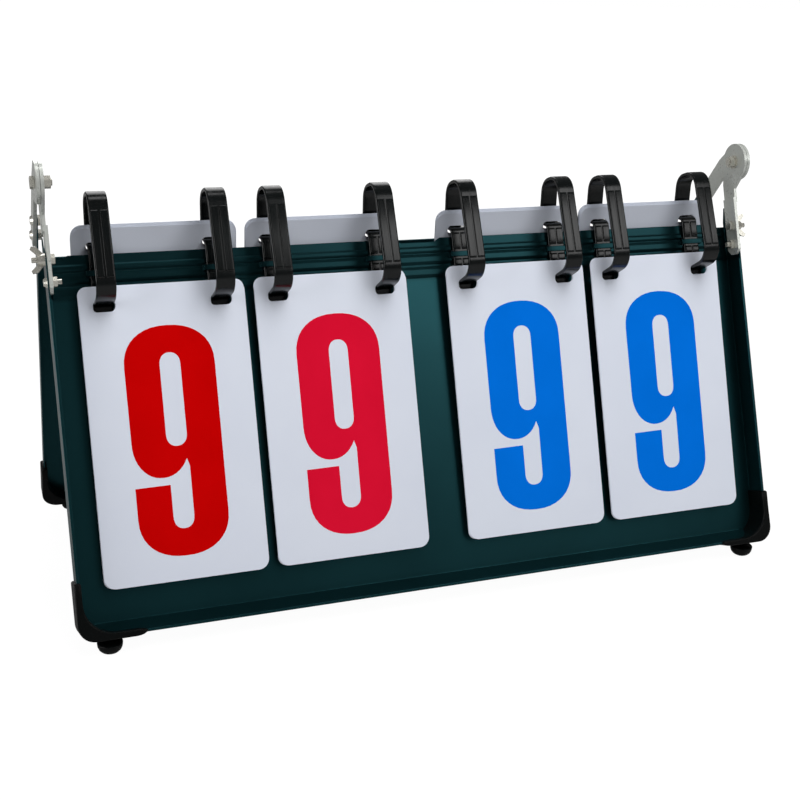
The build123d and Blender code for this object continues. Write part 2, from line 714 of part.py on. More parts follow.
def front_hollow(inset, base):
    """The room inside the front board's rims, in front of base."""
    with BuildPart() as room:
        with BuildSketch(front_face(base)):
            add(board_sketch(inset, BOARD_TOP + 20))
        extrude(amount=60)
        add(bottom_wedge(inset), mode=Mode.SUBTRACT)
    return room.part


def rear_hollow(inset, depth):
    """The room inside the rear board's rims, in front of its sheet."""
    with BuildPart() as room:
        with BuildSketch(rear_face(depth - 60)):
            add(rear_sketch(inset, REAR_TOP + 20))
        extrude(amount=60)
    return room.part


with BuildPart() as front_seat:
    with BuildSketch(front_face(BACK - GAP)):
        add(board_sketch(-GAP, BOARD_TOP))
    extrude(amount=RIM_FRONT - BACK + 2 * GAP)
    add(bottom_wedge(-GAP), mode=Mode.SUBTRACT)
    add(front_hollow(SHEET + GAP, FACE + GAP), mode=Mode.SUBTRACT)
    with BuildSketch(front_face(RIM_FRONT - SHEET - GAP)):
        add(board_sketch(-GAP, BOARD_TOP))
        add(board_sketch(RIM_LIP + GAP, BOARD_TOP + 5), mode=Mode.SUBTRACT)
    extrude(amount=SHEET + 2 * GAP)

with BuildPart() as rear_seat:
    with BuildSketch(rear_face(-REAR_RIM - GAP)):
        add(rear_sketch(-GAP, REAR_TOP))
    extrude(amount=REAR_RIM + 2 * GAP)
    add(rear_hollow(SHEET + GAP, -SHEET - GAP), mode=Mode.SUBTRACT)

front_knob_top = min(BOARD_FOOT * C1 + RIM_FRONT * S1, (BOARD_FOOT + RIM_DRAFT) * C1 + BACK * S1) - 0.3
rear_knob_top = BOARD_FOOT * C2 - REAR_RIM * S2 + 0.6
for name, side in LEFT_RIGHT.items():
    with BuildPart() as front_foot:
        with BuildSketch(front_face(BACK - FOOT_WALL)):
            add(foot_block(HALF_W, side))
        extrude(amount=RIM_FRONT - BACK + 2 * FOOT_WALL)
        add(front_hollow(FOOT_INNER, BACK - 20), mode=Mode.SUBTRACT)
        knob_x = side * (HALF_W - FOOT_KNOB_X)
        add(foot_knob(knob_x, FRONT_Y + front_knob_y0, FOOT_KNOB_R, front_knob_top))
        add(front_seat.part, mode=Mode.SUBTRACT)
    save(front_foot.part, "front_foot_" + name)
    with BuildPart() as rear_foot:
        with BuildSketch(rear_face(-REAR_RIM - FOOT_WALL)):
            add(foot_block(REAR_HALF, -side))
        extrude(amount=REAR_RIM + 2 * FOOT_WALL)
        add(rear_hollow(FOOT_INNER, 20), mode=Mode.SUBTRACT)
        knob_x = side * (REAR_HALF - FOOT_KNOB_X)
        add(foot_knob(knob_x, FRONT_Y + rear_knob_y0, REAR_KNOB_R, rear_knob_top))
        add(rear_seat.part, mode=Mode.SUBTRACT)
    save(rear_foot.part, "rear_foot_" + name)
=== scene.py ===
import json
import math

import bmesh
import bpy
from mathutils import Matrix, Vector


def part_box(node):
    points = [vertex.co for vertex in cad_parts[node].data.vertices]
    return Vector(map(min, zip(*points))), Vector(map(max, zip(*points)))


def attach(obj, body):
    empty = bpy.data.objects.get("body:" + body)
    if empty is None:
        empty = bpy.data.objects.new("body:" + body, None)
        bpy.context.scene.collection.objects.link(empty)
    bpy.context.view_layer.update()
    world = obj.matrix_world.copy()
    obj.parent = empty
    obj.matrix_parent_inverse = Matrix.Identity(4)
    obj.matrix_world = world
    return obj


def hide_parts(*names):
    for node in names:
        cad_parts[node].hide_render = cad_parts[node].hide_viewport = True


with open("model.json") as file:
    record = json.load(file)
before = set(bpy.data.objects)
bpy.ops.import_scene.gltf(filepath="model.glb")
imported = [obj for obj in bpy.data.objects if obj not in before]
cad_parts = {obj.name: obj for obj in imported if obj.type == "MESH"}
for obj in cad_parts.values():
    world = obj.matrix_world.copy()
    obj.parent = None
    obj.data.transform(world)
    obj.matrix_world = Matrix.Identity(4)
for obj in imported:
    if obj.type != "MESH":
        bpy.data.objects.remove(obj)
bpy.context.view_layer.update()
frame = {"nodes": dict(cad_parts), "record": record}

# ---- Sizes shared with the source, metres ----------------------------------------------
# s is measured up a board from the table, off is out of its face
LEAN = math.radians(23.0)
REAR_LEAN = math.radians(17.3)
CARD_LEAN = math.radians(21.9)
FRONT_Y = -0.11686552
REAR_Y = 0.12764591
FRONT_HALF = 0.2840      # half the front board's width
REAR_HALF = 0.2845
BOARD_R = 0.0250         # lower corners of both boards

CARD_X = (-0.20385, -0.07645, 0.07725, 0.20465)
CARD_W = 0.1200
CARD_H = 0.2145
CARD_FOOT = 0.0429
CARD_T = 0.00045
CARD_R = 0.0080
SLOT_IN = 0.0422         # a slot's middle to the card's middle
SLOT_W = 0.0158
SLOT_H = 0.0084
SLOT_R = 0.0034
SLOT_DROP = 0.0100

RING_W = 0.0140
RING_T = 0.0028
RING_PATH = ((-0.0039, 0.2439), (-0.0039, 0.2873), (-0.0152, 0.2921),
             (-0.0036, 0.3230), (0.0204, 0.3230), (0.0266, 0.2496))
RING_RADII = (0.0040, 0.0026, 0.0040, 0.0120, 0.0125, 0.0130)
RING_TAIL = 0.2380
RIB_W = 0.0054
RIB_GAP = 0.0012
RIB_T = 0.0009

SN, CS = math.sin(LEAN), math.cos(LEAN)
SR, CR = math.sin(REAR_LEAN), math.cos(REAR_LEAN)


def on_front(x, s, off):
    """Point of the front board."""
    return Vector((x, FRONT_Y + s * SN - off * CS, s * CS + off * SN))


def on_rear(x, s, off):
    """Point of the rear board."""
    return Vector((x, REAR_Y - s * SR + off * CR, s * CR + off * SR))


def card_matrix(x, off):
    """Places a flat card: its X across, its Y up the card, its Z out of it."""
    foot = on_front(x, CARD_FOOT, 0)
    sn, cs = math.sin(CARD_LEAN), math.cos(CARD_LEAN)
    return Matrix((
        (1, 0, 0, x),
        (0, sn, -cs, foot.y - off * cs),
        (0, cs, sn, foot.z + off * sn),
        (0, 0, 0, 1),
    ))


# ---- Nodes -------------------------------------------------------------------------------
def feed(tree, node, values):
    """Sets a node's sockets to numbers, or links them to other nodes' outputs."""
    for key, value in values.items():
        if isinstance(value, bpy.types.NodeSocket):
            tree.links.new(value, node.inputs[key])
        else:
            node.inputs[key].default_value = value


def add(tree, kind, values, operation=None):
    node = tree.nodes.new("ShaderNode" + kind)
    if operation:
        node.operation = operation
    feed(tree, node, values)
    return node


def material(name, values):
    mat = bpy.data.materials.new(name)
    mat.use_nodes = True
    tree = mat.node_tree
    shader = tree.nodes["Principled BSDF"]
    feed(tree, shader, values)
    return mat, tree, shader


def object_place(tree):
    return add(tree, "TexCoord", {}).outputs["Object"]


def noise(tree, scale, detail, rough, stretch=None):
    place = object_place(tree)
    if stretch:
        place = add(tree, "Mapping", {"Scale": stretch, "Vector": place}).outputs["Vector"]
    values = {"Scale": scale, "Detail": detail, "Roughness": rough, "Vector": place}
    return add(tree, "TexNoise", values).outputs["Fac"]


def ramp(tree, source, stops):
    node = add(tree, "ValToRGB", {"Fac": source})
    ends = node.color_ramp.elements
    ends[0].position, ends[0].color = stops[0][0], (*stops[0][1], 1)
    ends[1].position, ends[1].color = stops[-1][0], (*stops[-1][1], 1)
    for position, colour in stops[1:-1]:
        ends.new(position).color = (*colour, 1)
    return node.outputs["Color"]


def spread(tree, source, low, high):
    """Turns a value from 0 to 1 into one from low to high."""
    return add(tree, "MapRange", {"Value": source, "To Min": low, "To Max": high}).outputs["Result"]


def relief(tree, height, strength, distance, soft=None):
    """The normal of a bump; soft also rounds the look of sharp edges by that radius."""
    values = {"Height": height, "Strength": strength, "Distance": distance}
    if soft:
        bevel = add(tree, "Bevel", {"Radius": soft})
        bevel.samples = 6
        values["Normal"] = bevel.outputs["Normal"]
    return add(tree, "Bump", values).outputs["Normal"]


# ---- Materials -----------------------------------------------------------------------------
def surface(name, shader_values, mottle, stops, grain, gloss, bumps=None):
    """A mottled colour, and a grain that varies the gloss and stands out as fine bumps."""
    mat, tree, shader = material(name, shader_values)
    fine = noise(tree, *grain)
    feed(tree, shader, {
        "Base Color": ramp(tree, noise(tree, *mottle), stops),
        "Roughness": spread(tree, fine, *gloss),
    })
    if bumps:
        feed(tree, shader, {"Normal": relief(tree, fine, *bumps)})
    return mat


BAND_START, BAND_FULL = 0.2485, 0.2515   # s at which the painted shade on the front board's pressed band sets in, and where it is full
# painted shade: the band's green is scaled down to this share
BAND_SHADE = 0.55
FRONT_ONLY = 0.015                       # the painted shade is on what lies before this Y


def enamel():
    mat, tree, shader = material("green_enamel", {"Metallic": 0.90})
    green = ramp(tree, noise(tree, 9.0, 3.0, 0.55), [
        (0.35, (0.0115, 0.062, 0.072)),
        (0.65, (0.0140, 0.074, 0.086)),
    ])
    # painted shade: the pressed band along the top of the front board is darkened
    place = object_place(tree)
    up_front = add(tree, "VectorMath", {0: place, 1: (0.0, SN, CS)}, "DOT_PRODUCT")
    above = add(tree, "MapRange", {
        "Value": up_front.outputs["Value"],
        "From Min": BAND_START + FRONT_Y * SN,
        "From Max": BAND_FULL + FRONT_Y * SN,
    })
    depth = add(tree, "SeparateXYZ", {"Vector": place}).outputs["Y"]
    before = add(tree, "Math", {0: depth, 1: FRONT_ONLY}, "LESS_THAN")
    band = add(tree, "Math", {0: above.outputs["Result"], 1: before.outputs[0]}, "MULTIPLY")
    # the green is darkened by the painted shade over the band
    band_shade_factor = spread(tree, band.outputs[0], 1.0, BAND_SHADE)
    band_shaded_green = add(tree, "VectorMath", {0: green, "Scale": band_shade_factor}, "SCALE")
    grain = noise(tree, 900.0, 3.0, 0.6)
    feed(tree, shader, {
        "Base Color": band_shaded_green.outputs["Vector"],
        "Roughness": spread(tree, grain, 0.27, 0.39),
        "Normal": relief(tree, grain, 0.10, 0.00005, 0.0008),
    })
    return mat


def card_white(name, shade):
    stops = [
        (0.35, (0.705 * shade, 0.745 * shade, 0.845 * shade)),
        (0.65, (0.730 * shade, 0.770 * shade, 0.865 * shade)),
    ]
    return surface(name, {"Specular IOR Level": 0.25}, (14.0, 3.0, 0.5), stops,
                   (1200.0, 2.0, 0.5), (0.46, 0.56), (0.04, 0.00003))


def ink(name, low, high):
    return surface(name, {"Specular IOR Level": 0.0}, (22.0, 3.0, 0.5), [(0.35, low), (0.65, high)],
                   (1500.0, 2.0, 0.5), (0.50, 0.60))


def plated(name, metal, gloss, tint):
    """Brushed plating with small tarnished spots."""
    stops = [
        (0.34, tuple(c * 0.62 for c in tint)),
        (0.42, tint),
        (0.70, tuple(c * 0.92 for c in tint)),
    ]
    return surface(name, {"Metallic": metal}, (420.0, 5.0, 0.7), stops,
                   (260.0, 4.0, 0.6, (1.0, 0.25, 0.25)), gloss, (0.06, 0.00004))


MATS = {
    "green_enamel": enamel(),
    "ring_black": surface(
        "ring_black", {"Specular IOR Level": 0.45}, (60.0, 4.0, 0.6),
        [(0.3, (0.0006, 0.0014, 0.0015)), (0.7, (0.0012, 0.0024, 0.0026))],
        (420.0, 3.0, 0.6, (1.0, 0.05, 0.05)), (0.10, 0.34), (0.10, 0.00008)),
    "foot_black": surface(
        "foot_black", {"Specular IOR Level": 0.16}, (45.0, 3.0, 0.5),
        [(0.3, (0.0008, 0.0014, 0.0014)), (0.7, (0.0016, 0.0022, 0.0022))],
        (1400.0, 3.0, 0.6), (0.34, 0.50), (0.20, 0.00006, 0.0009)),
    "card_white": card_white("card_white", 1.0),
    "arm_plated": plated("arm_plated", 0.5, (0.22, 0.36), (0.72, 0.745, 0.70)),
    "hardware_plated": plated("hardware_plated", 0.8, (0.16, 0.30), (0.78, 0.76, 0.68)),
}
# painted shade: a copy of the card white at 0.82 of its colour, for the turned-over sheets
SHADED_CARD_WHITE = card_white("card_white_painted_shade", 0.82)
RED = ink("ink_red", (0.56, 0.0006, 0.0008), (0.60, 0.0008, 0.0012))
RED_2 = ink("ink_red_2", (0.70, 0.0055, 0.030), (0.74, 0.0065, 0.034))
BLUE = ink("ink_blue", (0.0006, 0.155, 0.70), (0.0010, 0.165, 0.74))

slots = {row["node"]: row["material_slot"] for row in frame["record"]["subparts"]}
for node, obj in frame["nodes"].items():
    for slot in obj.material_slots:
        slot.material = MATS[slots[node]]


# ---- Flat outlines ---------------------------------------------------------------------------
def flat_mesh(name, loops, thick):
    """Mesh of a flat outline with holes, thick in Z about its own plane."""
    curve = bpy.data.curves.new(name, "CURVE")
    curve.dimensions = "2D"
    curve.fill_mode = "BOTH"
    for loop in loops:
        spline = curve.splines.new("POLY")
        spline.points.add(len(loop) - 1)
        for point, (px, py) in zip(spline.points, loop):
            point.co = (px, py, 0, 1)
        spline.use_cyclic_u = True
    curve.extrude = thick / 2
    obj = bpy.data.objects.new(name, curve)
    bpy.context.collection.objects.link(obj)
    mesh = bpy.data.meshes.new_from_object(obj)
    bpy.data.objects.remove(obj)
    return mesh


def rounded(points, radii, steps):
    """Closed outline with an arc at each corner."""
    out = []
    for k, here in enumerate(points):
        before, after = points[k - 1], points[(k + 1) % len(points)]
        a = math.atan2(before[1] - here[1], before[0] - here[0])
        b = math.atan2(after[1] - here[1], after[0] - here[0])
        opening = (b - a + math.pi) % (2 * math.pi) - math.pi
        reach = radii[k] / math.sin(abs(opening) / 2)
        run = radii[k] / math.tan(abs(opening) / 2)
        cx = here[0] + reach * math.cos(a + opening / 2)
        cy = here[1] + reach * math.sin(a + opening / 2)
        first = math.atan2(here[1] + run * math.sin(a) - cy, here[0] + run * math.cos(a) - cx)
        last = math.atan2(here[1] + run * math.sin(b) - cy, here[0] + run * math.cos(b) - cx)
        sweep = (last - first + math.pi) % (2 * math.pi) - math.pi
        for j in range(steps + 1):
            t = first + sweep * j / steps
            out.append((cx + radii[k] * math.cos(t), cy + radii[k] * math.sin(t)))
    return out


def box_outline(x, y, wide, high, r, steps=10):
    signs = ((-1, -1), (1, -1), (1, 1), (-1, 1))
    corners = [(x + i * wide / 2, y + j * high / 2) for i, j in signs]
    return rounded(corners, [r] * 4, steps)


def piece(name, mesh, mat, body, node=None):
    """Links a finished mesh as a piece that rides on a body."""
    obj = bpy.data.objects.new(name, mesh)
    bpy.context.collection.objects.link(obj)
    mesh.materials.clear()
    mesh.materials.append(mat)
    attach(obj, body)
    if node:
        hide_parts(node)


# ---- Printed numerals --------------------------------------------------------------------------
PRINT_T = 0.00003
NUMERAL_X = 0.0003       # the numeral's middle to the card's middle
HALF_N = 0.0328          # half the numeral's width
N_TOP, N_LOW = 0.1844, 0.0174
STROKE = 0.0253
CURVE = 0.0290           # height of the rounded ends
ROUND = 2.25             # how square the rounded ends are
OPENING = HALF_N - STROKE                # half the width of the openings
OPENING_CURVE = 0.0088
HOOK_TOP, HOOK_FLOOR = 0.0690, 0.0460    # upper end of the tail's stroke, and its opening
STEM_LOW = 0.0818        # where the bowl leaves the right-hand stroke
BOWL_X, BOWL_Y = -0.0120, 0.1010
BOWL_RX, BOWL_RY = 0.0206, 0.0262
HOLE_TOP, HOLE_LOW = N_TOP - 0.0198, 0.0969


def arch(cx, cy, rx, ry, start, end, steps=20, power=ROUND):
    """Points of a superellipse arc from one angle to another, in degrees."""
    out = []
    for k in range(steps + 1):
        a = math.radians(start + (end - start) * k / steps)
        c, s = math.cos(a), math.sin(a)
        out.append((
            cx + rx * math.copysign(abs(c) ** (2 / power), c),
            cy + ry * math.copysign(abs(s) ** (2 / power), s),
        ))
    return out


def nine():
    """Outline of the digit and of its upper opening."""
    x = NUMERAL_X
    outer = arch(x, N_TOP - CURVE, HALF_N, CURVE, 180, 0)
    outer += arch(x, N_LOW + CURVE, HALF_N, CURVE, 0, -180)
    outer += [(x - HALF_N, HOOK_TOP), (x - OPENING, HOOK_TOP + 0.0004)]
    outer += arch(x, HOOK_FLOOR, OPENING, OPENING_CURVE, 180, 360, 14)
    outer += [(x + OPENING + 0.0002, STEM_LOW)]
    bowl = arch(x + BOWL_X, BOWL_Y, BOWL_RX, BOWL_RY, -30, -180, 18, 2.1)
    outer += [p for p in bowl if p[0] < x + OPENING - 0.001]
    hole = arch(x, HOLE_TOP - OPENING_CURVE, OPENING, OPENING_CURVE, 0, 180, 14)
    hole += arch(x, HOLE_LOW + OPENING_CURVE, OPENING, OPENING_CURVE, 180, 360, 14)
    return outer, hole


for number, (x, mat) in enumerate(zip(CARD_X, (RED, RED_2, BLUE, BLUE)), start=1):
    mesh = flat_mesh("numeral_%d" % number, nine(), PRINT_T)
    mesh.transform(card_matrix(x, CARD_T + PRINT_T / 2))
    piece("numeral_%d" % number, mesh, mat, "shown_%d" % number)

# ---- Cards -----------------------------------------------------------------------------------
BACKING_R = CARD_R * 0.8
BACKING_GAP = 0.00005    # between the two shown sheets
BACKING_SHIFT, BACKING_RISE = -0.0003, 0.0004
LEAF_T = 0.00033
# the turned-over cards are a little out of line with each other: upwards, and across in MM
MM = 0.001
LEAF_RISE = (0.0, 0.0002, 0.0003, 0.0008, 0.0010, 0.0012, 0.0017, 0.0019, 0.0019)
LEAF_SHIFT = (
    (-0.3, -0.1, -0.5, 0.2, 0.5, 0.1, -0.2, 0.3, 0.0),
    (0.1, -0.4, -0.2, 0.4, 0.2, -0.3, 0.1, 0.4, -0.2),
    (-0.5, 0.0, -0.3, 0.3, 0.5, 0.2, -0.1, 0.1, 0.3),
    (0.2, -0.3, 0.0, 0.5, 0.1, -0.2, 0.3, 0.0, -0.3),
)


def card_loops(corner):
    """Outline and slots of a card that stands on its own X axis."""
    slot_y = CARD_H - SLOT_DROP - SLOT_H / 2
    loops = [box_outline(0, CARD_H / 2, CARD_W, CARD_H, corner)]
    for k in (-1, 1):
        loops.append(box_outline(k * SLOT_IN, slot_y, SLOT_W, SLOT_H, SLOT_R, 6))
    return loops


def turned_over(number, x):
    """The turned-over sheets of a set, upright in the box of the node they replace."""
    low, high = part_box("flipped_cards_%d" % number)
    pitch = (high.y - low.y) / len(LEAF_RISE)
    foot = high.z - LEAF_RISE[-1] - CARD_H
    joined = bmesh.new()
    for k, (rise, shift) in enumerate(zip(LEAF_RISE, LEAF_SHIFT[number - 1])):
        leaf = flat_mesh("leaf", card_loops(CARD_R), LEAF_T)
        leaf.transform(Matrix((
            (1, 0, 0, x + shift * MM),
            (0, 0, -1, low.y + (k + 0.5) * pitch),
            (0, 1, 0, foot + rise),
            (0, 0, 0, 1),
        )))
        joined.from_mesh(leaf)
    mesh = bpy.data.meshes.new("flipped_sheets_%d" % number)
    joined.to_mesh(mesh)
    joined.free()
    return mesh


for number, x in enumerate(CARD_X, start=1):
    mesh = flat_mesh("number_sheet_%d" % number, card_loops(CARD_R), CARD_T)
    mesh.transform(card_matrix(x, CARD_T / 2))
    piece("number_sheet_%d" % number, mesh, MATS["card_white"], "shown_%d" % number,
          "number_card_%d" % number)
    mesh = flat_mesh("backing_sheet_%d" % number, card_loops(BACKING_R), CARD_T)
    behind = card_matrix(x + BACKING_SHIFT, -BACKING_GAP - CARD_T / 2)
    mesh.transform(behind @ Matrix.Translation((0, BACKING_RISE, 0)))
    piece("backing_sheet_%d" % number, mesh, MATS["card_white"], "shown_%d" % number,
          "backing_card_%d" % number)
    mesh = turned_over(number, x)
    # the turned-over sheets get the card white with painted shade
    piece("flipped_sheets_%d" % number, mesh, SHADED_CARD_WHITE, "stack_%d" % number,
          "flipped_cards_%d" % number)


# ---- Lofted strips ------------------------------------------------------------------------------
class Skin:
    """Collects lofts into one mesh."""

    def __init__(self):
        self.points = []
        self.faces = []

    def loft(self, rows, closed=False):
        base, wide = len(self.points), len(rows[0])
        for row in rows:
            self.points += row
        for i in range(len(rows) if closed else len(rows) - 1):
            a, b = base + i * wide, base + (i + 1) % len(rows) * wide
            for j in range(wide):
                k = (j + 1) % wide
                self.faces.append((a + j, b + j, b + k, a + k))
        if not closed:
            self.faces.append(tuple(range(base, base + wide)))
            end = base + (len(rows) - 1) * wide
            self.faces.append(tuple(range(end, end + wide)))

    def mesh(self, name):
        mesh = bpy.data.meshes.new(name)
        mesh.from_pydata([tuple(p) for p in self.points], [], self.faces)
        work = bmesh.new()
        work.from_mesh(mesh)
        bmesh.ops.recalc_face_normals(work, faces=work.faces)
        work.to_mesh(mesh)
        work.free()
        mesh.polygons.foreach_set("use_smooth", [True] * len(mesh.polygons))
        mesh.set_sharp_from_angle(angle=math.radians(50))
        return mesh


def strip_section(wide, low, high, r, steps=4):
    """Cross-section of a strip: across it, and out from its path.

    Each side has a point close to either corner, so that it shades flat.
    """
    outline = box_outline(0, (low + high) / 2, wide, high - low, r, steps)
    held = []
    for k, (x, d) in enumerate(outline):
        held.append((x, d))
        if k % (steps + 1) == steps:
            nx, nd = outline[(k + 1) % len(outline)]
            held += [(x + (nx - x) * t, d + (nd - d) * t) for t in (0.04, 0.96)]
    return held


def along(path, closed):
    """Outward direction at each point of a path that runs clockwise."""
    out = []
    for k in range(len(path)):
        ax, ay = path[k - 1] if closed or k else path[k]
        bx, by = path[(k + 1) % len(path)] if closed or k + 1 < len(path) else path[k]
        length = math.hypot(bx - ax, by - ay)
        out.append(((ay - by) / length, (bx - ax) / length))
    return out


def sweep_strip(skin, x, path, sections, closed=False):
    """Lofts cross-sections along a path of (off, s) in the front board's frame."""
    rows = []
    for (off, s), (no, ns), section in zip(path, along(path, closed), sections):
        rows.append([on_front(x + dx, s + d * ns, off + d * no) for dx, d in section])
    skin.loft(rows, closed)


def spaced(outline, most):
    """The outline with extra points on its long runs."""
    out = []
    for k, (x, y) in enumerate(outline):
        nx, ny = outline[(k + 1) % len(outline)]
        count = max(1, math.ceil(math.hypot(nx - x, ny - y) / most))
        out += [(x + (nx - x) * j / count, y + (ny - y) * j / count) for j in range(count)]
    return out


# ---- Rings ---------------------------------------------------------------------------------------
FRONT_LEG = (RING_PATH[5], RING_PATH[4])
INNER_LEG = (RING_PATH[0], RING_PATH[1])
# a pair of ribs each: the leg they lie on, and the s where they start and end
RIBS = ((FRONT_LEG, 0.3090, 0.2605), (INNER_LEG, 0.2850, 0.2715), (INNER_LEG, 0.2645, 0.2582))
RIB_SINK = 0.0004        # how deep a rib starts inside its leg
RIB_R = 0.0004
RIB_RUN = ((0.0, 0.1), (0.0006, 0.75), (0.0016, 1.0))   # distance from an end, share of height
STRIP_R = 0.0009
TAIL_R = 0.0006
TAIL_LAP = 0.0030        # how far the tail runs up inside the loop
TAIL_RUN = ((0.0, 0.0014), (0.0004, 0.0006), (0.0012, 0.0))   # distance from its end, cut


def leg_point(leg, s):
    a, b = leg
    t = (s - a[1]) / (b[1] - a[1])
    return (a[0] + (b[0] - a[0]) * t, s)


def ring_rib(skin, x, start, end):
    """A raised rib from start to end, on the left of that way, that runs out at both ends."""
    length = math.dist(start, end)
    stops = list(RIB_RUN) + [(length - v, share) for v, share in reversed(RIB_RUN)]
    base = RING_T / 2 - RIB_SINK
    path, sections = [], []
    for v, share in stops:
        path.append((start[0] + (end[0] - start[0]) * v / length,
                     start[1] + (end[1] - start[1]) * v / length))
        top = base + RIB_SINK + RIB_T * share
        sections.append(strip_section(RIB_W, base, top, RIB_R * (0.3 + 0.7 * share), 3))
    sweep_strip(skin, x, path, sections)


def ring(name, x):
    skin = Skin()
    path = spaced(rounded(RING_PATH, RING_RADII, 12), 0.004)
    section = strip_section(RING_W, -RING_T / 2, RING_T / 2, STRIP_R)
    sweep_strip(skin, x, path, [section] * len(path), True)
    foot = RING_PATH[0]
    tail = [(RING_TAIL + up, cut) for up, cut in TAIL_RUN] + [(foot[1] + TAIL_LAP, 0.0)]
    sections = [strip_section(RING_W - cut, -RING_T / 2 + cut / 2, RING_T / 2 - cut / 2, TAIL_R)
                for s, cut in tail]
    sweep_strip(skin, x, [(foot[0], s) for s, cut in tail], sections)
    for side in (-1, 1):
        for leg, start, end in RIBS:
            ring_rib(skin, x + side * (RIB_W + RIB_GAP) / 2, leg_point(leg, start), leg_point(leg, end))
    return skin.mesh(name)


RING_X = [x + k * SLOT_IN for x in CARD_X for k in (-1, 1)]
for number, x in enumerate(RING_X, start=1):
    name = "ring_loop_%d" % number
    piece(name, ring(name, x), MATS["ring_black"], "front_frame", "ring_%d" % number)

# ---- Corner feet --------------------------------------------------------------------------------
FOOT_LOW = 0.0100        # underside of a foot, measured up its board
FOOT_TOP = 0.0520
FOOT_LONG = 0.0460       # bottom leg, from the board's side
FOOT_SKIN = 0.0020
FOOT_IN = 0.0028
FOOT_R = 0.0120
FOOT_EDGE = 0.0011
# down from the foot's top, and how far the channel's edges draw in there
SIDE_RUN = ((0.0, 0.0010), (0.0004, 0.0004), (0.0012, 0.0), (0.0080, 0.0), (0.0160, 0.0))
# share of the bottom leg, rise of its underside, and how far the edges draw in there
BOTTOM_RUN = ((0.35, 0.0, 0.0), (0.62, 0.0, 0.0), (0.76, 0.0003, 0.0001), (0.86, 0.0009, 0.0003),
              (0.94, 0.0018, 0.0006), (0.985, 0.0027, 0.0010), (1.0, 0.0034, 0.0016))
KNOB_RUN = ((0.0, 0.52), (0.0002, 0.60), (0.0010, 0.74), (0.0024, 0.88), (0.0044, 0.97), (0.0070, 1.0))
KNOB_IN = 0.0200         # a knob's axis, in from the board's side
KNOB_SIDES = 28


def quarter(cx, cy, r, side, steps=14):
    """Corner arc from the outer side down to the underside."""
    return [(cx + side * r * math.cos(t), cy - r * math.sin(t))
            for t in (math.pi / 2 * k / steps for k in range(steps + 1))]


def foot_strip(skin, point, side, half, low, high):
    """The channel that wraps a board's corner, from its side round to its lower edge."""
    out_x, in_x = half + FOOT_SKIN, half - FOOT_IN
    in_s = FOOT_LOW + FOOT_SKIN + FOOT_IN
    inner_r = BOARD_R - FOOT_IN
    outer = quarter(side * (out_x - FOOT_R), FOOT_LOW + FOOT_R, FOOT_R, side)
    inner = quarter(side * (in_x - inner_r), in_s + inner_r, inner_r, side)
    stations = []
    for down, cut in SIDE_RUN:
        s = FOOT_TOP - down
        stations.append(((side * (out_x - cut), s), (side * (in_x + cut), s), cut))
    stations += [(o, i, 0.0) for o, i in zip(outer, inner)]
    start = inner[-1][0]
    length = abs(start) - (half - FOOT_LONG)
    for share, lift, cut in BOTTOM_RUN:
        x = start - side * length * share
        stations.append(((x, FOOT_LOW + lift), (x, in_s - cut), cut))
    rows = []
    for (ox, oy), (ix, iy), cut in stations:
        wide = math.hypot(ox - ix, oy - iy)
        row = []
        for across, off in strip_section(wide, low + cut, high - cut, min(FOOT_EDGE, wide * 0.4), 3):
            t = across / wide + 0.5
            row.append(point(ix + (ox - ix) * t, iy + (oy - iy) * t, off))
        rows.append(row)
    skin.loft(rows)


def knob(skin, x, y, radius, top):
    """A turned knob that stands on the table."""
    profile = [(z, radius * share) for z, share in KNOB_RUN]
    profile += [(top - 0.0004, radius), (top, radius * 0.96)]
    turn = [2 * math.pi * k / KNOB_SIDES for k in range(KNOB_SIDES)]
    skin.loft([[Vector((x + r * math.cos(a), y + r * math.sin(a), z)) for a in turn]
               for z, r in profile])


# board, point function, half width, channel's low and high side, knob's Y, radius and top
FEET = (
    ("front", on_front, FRONT_HALF, -0.0090, 0.0148, FRONT_Y + 0.00124, 0.0091, 0.0078),
    ("rear", on_rear, REAR_HALF, -0.0110, 0.0020, REAR_Y - 0.00727, 0.0061, 0.0086),
)
for tag, side in (("left", -1), ("right", 1)):
    for board, point, half, low, high, knob_y, radius, top in FEET:
        skin = Skin()
        foot_strip(skin, point, side, half, low, high)
        knob(skin, side * (half - KNOB_IN), knob_y, radius, top)
        name = "%s_foot_%s" % (board, tag)
        piece("corner_" + name, skin.mesh(name), MATS["foot_black"], board + "_frame",
              name)

# ---- Floor and background -----------------------------------------------------------------------
GLOSS_SHARE = 0.10       # how much of the background shows in metal and gloss
FLOOR_SIZE = 6.0
FLOOR_Z = -0.0005
WHITE = 1.075            # glow of the plain white floor
NEAR, FAR = 0.45, 1.10   # distance from the object where white starts, and where it is full
NEAR_SHARE = 0.90        # share of the glow up to NEAR, where the floor keeps the shadow
FLOOR_SEEN, FLOOR_UNSEEN = 0.80, 0.22    # the floor's own white, in view and for its bounce
WORLD_UNSEEN = 0.03


def in_sight(tree):
    """1 for camera rays and a little for glossy rays, so that metal shows the background too."""
    path = add(tree, "LightPath", {})
    node = add(tree, "Math", {
        0: path.outputs["Is Glossy Ray"],
        1: GLOSS_SHARE,
        2: path.outputs["Is Camera Ray"],
    }, "MULTIPLY_ADD")
    node.use_clamp = True
    return node.outputs[0]


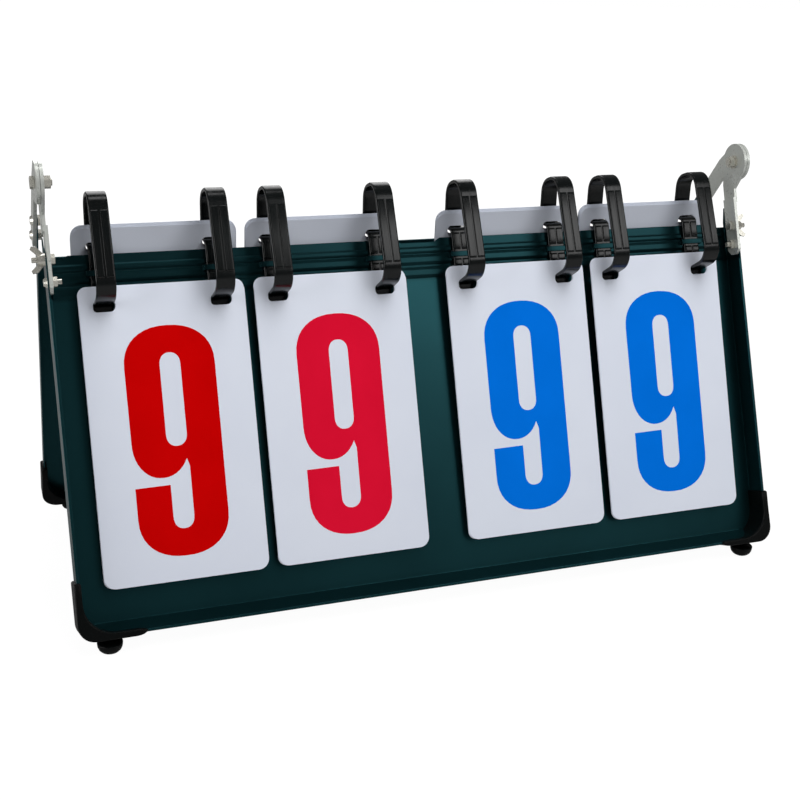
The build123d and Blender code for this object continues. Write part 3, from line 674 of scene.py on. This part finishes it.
def floor():
    corners = [(i * FLOOR_SIZE, j * FLOOR_SIZE, 0) for i, j in ((-1, -1), (1, -1), (1, 1), (-1, 1))]
    mesh = bpy.data.meshes.new("floor")
    mesh.from_pydata(corners, [], [(0, 1, 2, 3)])
    obj = bpy.data.objects.new("floor", mesh)
    bpy.context.collection.objects.link(obj)
    obj.location.z = FLOOR_Z
    mat, tree, shader = material("floor", {"Roughness": 0.9})
    seen = in_sight(tree)
    feed(tree, shader, {"Base Color": spread(tree, seen, FLOOR_UNSEEN, FLOOR_SEEN)})
    away = add(tree, "VectorMath", {0: object_place(tree)}, "LENGTH")
    plain = add(tree, "MapRange", {
        "Value": away.outputs["Value"],
        "From Min": NEAR,
        "From Max": FAR,
        "To Min": NEAR_SHARE,
        "To Max": 1.0,
    })
    share = add(tree, "Math", {0: seen, 1: plain.outputs["Result"]}, "MULTIPLY")
    glow = add(tree, "Emission", {"Color": (1, 1, 1, 1), "Strength": WHITE})
    mix = add(tree, "MixShader", {"Fac": share.outputs[0], 1: shader.outputs[0], 2: glow.outputs[0]})
    feed(tree, tree.nodes["Material Output"], {"Surface": mix.outputs[0]})
    mesh.materials.append(mat)


floor()
world = bpy.data.worlds.new("studio")
bpy.context.scene.world = world
world.use_nodes = True
feed(world.node_tree, world.node_tree.nodes["Background"], {
    "Color": (1, 1, 1, 1),
    "Strength": spread(world.node_tree, in_sight(world.node_tree), WORLD_UNSEEN, 1.0),
})

# ---- Lamps ---------------------------------------------------------------------------------------
MIDDLE = (0, 0, 0.15)
# name, place, aim, size, power, whether gloss mirrors it
LAMPS = (
    ("key", (0.48, -0.80, 2.15), MIDDLE, 1.7, 48.5, False),
    ("panel", (1.05, -1.62, 1.42), (0, 0, 0.20), 0.95, 7.5, True),
    ("left_panel", (-1.9, -0.5, 0.8), MIDDLE, 1.0, 14.0, True),
    ("back_panel", (0.2, 2.3, 1.7), MIDDLE, 2.2, 34.0, True),
    ("top_panel", (0.1, 0.15, 2.6), MIDDLE, 0.6, 3.0, True),
)
for name, place, aim, size, power, mirrored in LAMPS:
    data = bpy.data.lights.new(name, "AREA")
    data.energy = power
    data.size = size
    lamp = bpy.data.objects.new(name, data)
    bpy.context.collection.objects.link(lamp)
    lamp.location = place
    lamp.rotation_euler = (Vector(aim) - Vector(place)).to_track_quat("-Z", "Y").to_euler()
    lamp.visible_glossy = mirrored

# ---- Camera --------------------------------------------------------------------------------------
YAW, PITCH, ROLL = 0.375226, 0.372461, 0.047386
EYE = Vector((-0.36104, -0.78070 + FRONT_Y, 0.49857))
SENSOR = 36.0
FOCAL = 1261.196 / 800.0   # focal length, in widths of the picture

forward = Vector((math.sin(YAW) * math.cos(PITCH), math.cos(YAW) * math.cos(PITCH), -math.sin(PITCH)))
level = Vector((math.cos(YAW), -math.sin(YAW), 0.0))
upright = level.cross(forward)
right = level * math.cos(ROLL) + upright * math.sin(ROLL)
up = -level * math.sin(ROLL) + upright * math.cos(ROLL)
data = bpy.data.cameras.new("camera")
data.sensor_width = SENSOR
data.lens = SENSOR * FOCAL
camera = bpy.data.objects.new("camera", data)
bpy.context.collection.objects.link(camera)
camera.matrix_world = Matrix((
    (right.x, up.x, -forward.x, EYE.x),
    (right.y, up.y, -forward.y, EYE.y),
    (right.z, up.z, -forward.z, EYE.z),
    (0, 0, 0, 1),
))
bpy.context.scene.camera = camera
bpy.context.scene.view_settings.view_transform = "Standard"
